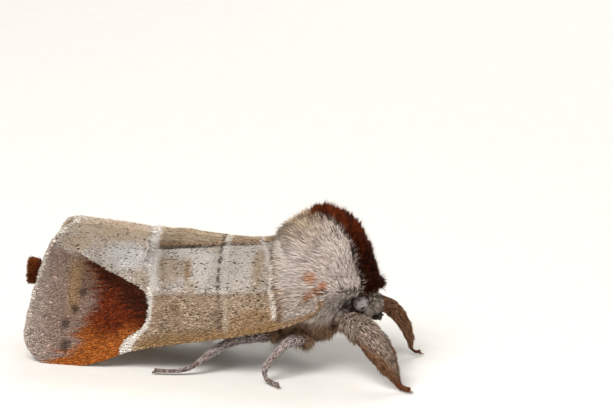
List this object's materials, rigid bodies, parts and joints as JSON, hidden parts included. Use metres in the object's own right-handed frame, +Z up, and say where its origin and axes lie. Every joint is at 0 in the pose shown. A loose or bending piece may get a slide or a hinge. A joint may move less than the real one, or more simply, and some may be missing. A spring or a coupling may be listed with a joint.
{
  "type": "moth",
  "caption": "Life-size still moth at rest, with a furry body, a dark crest over its thorax and wings folded like a roof over its back.",
  "frame": {"origin": "On the floor, under the middle of the moth's length and on its midplane.", "axes": "+X is forward, where the head points, along the length. +Y is the moth's left. +Z is up."},
  "size_m": [0.02, 0.009, 0.0085],
  "materials": {
    "pale_fur": "pinkish grey hair",
    "crest_fur": "chocolate brown hair",
    "belly_fur": "grey brown hair",
    "leg_fur": "grey and rusty brown hair",
    "forewing": "dusty wing scales with pale cross lines and a chocolate tip",
    "hindwing": "plain grey wing scales",
    "eye": "finely faceted grey horn",
    "antenna": "brown horn with pale scales"
  },
  "bodies": {
    "root": {"thorax": "pale_fur", "crest": "crest_fur", "head": "pale_fur", "abdomen": "belly_fur", "tail_brush": "crest_fur", "eye_right": "eye", "palp_right": "pale_fur", "antenna_right": "antenna", "forewing_right": "forewing", "hindwing_right": "hindwing", "leg_fore_right": "leg_fur", "leg_mid_right": "leg_fur", "leg_hind_right": "leg_fur", "eye_left": "eye", "palp_left": "pale_fur", "antenna_left": "antenna", "forewing_left": "forewing", "hindwing_left": "hindwing", "leg_fore_left": "leg_fur", "leg_mid_left": "leg_fur", "leg_hind_left": "leg_fur"}
  },
  "joints": []
}
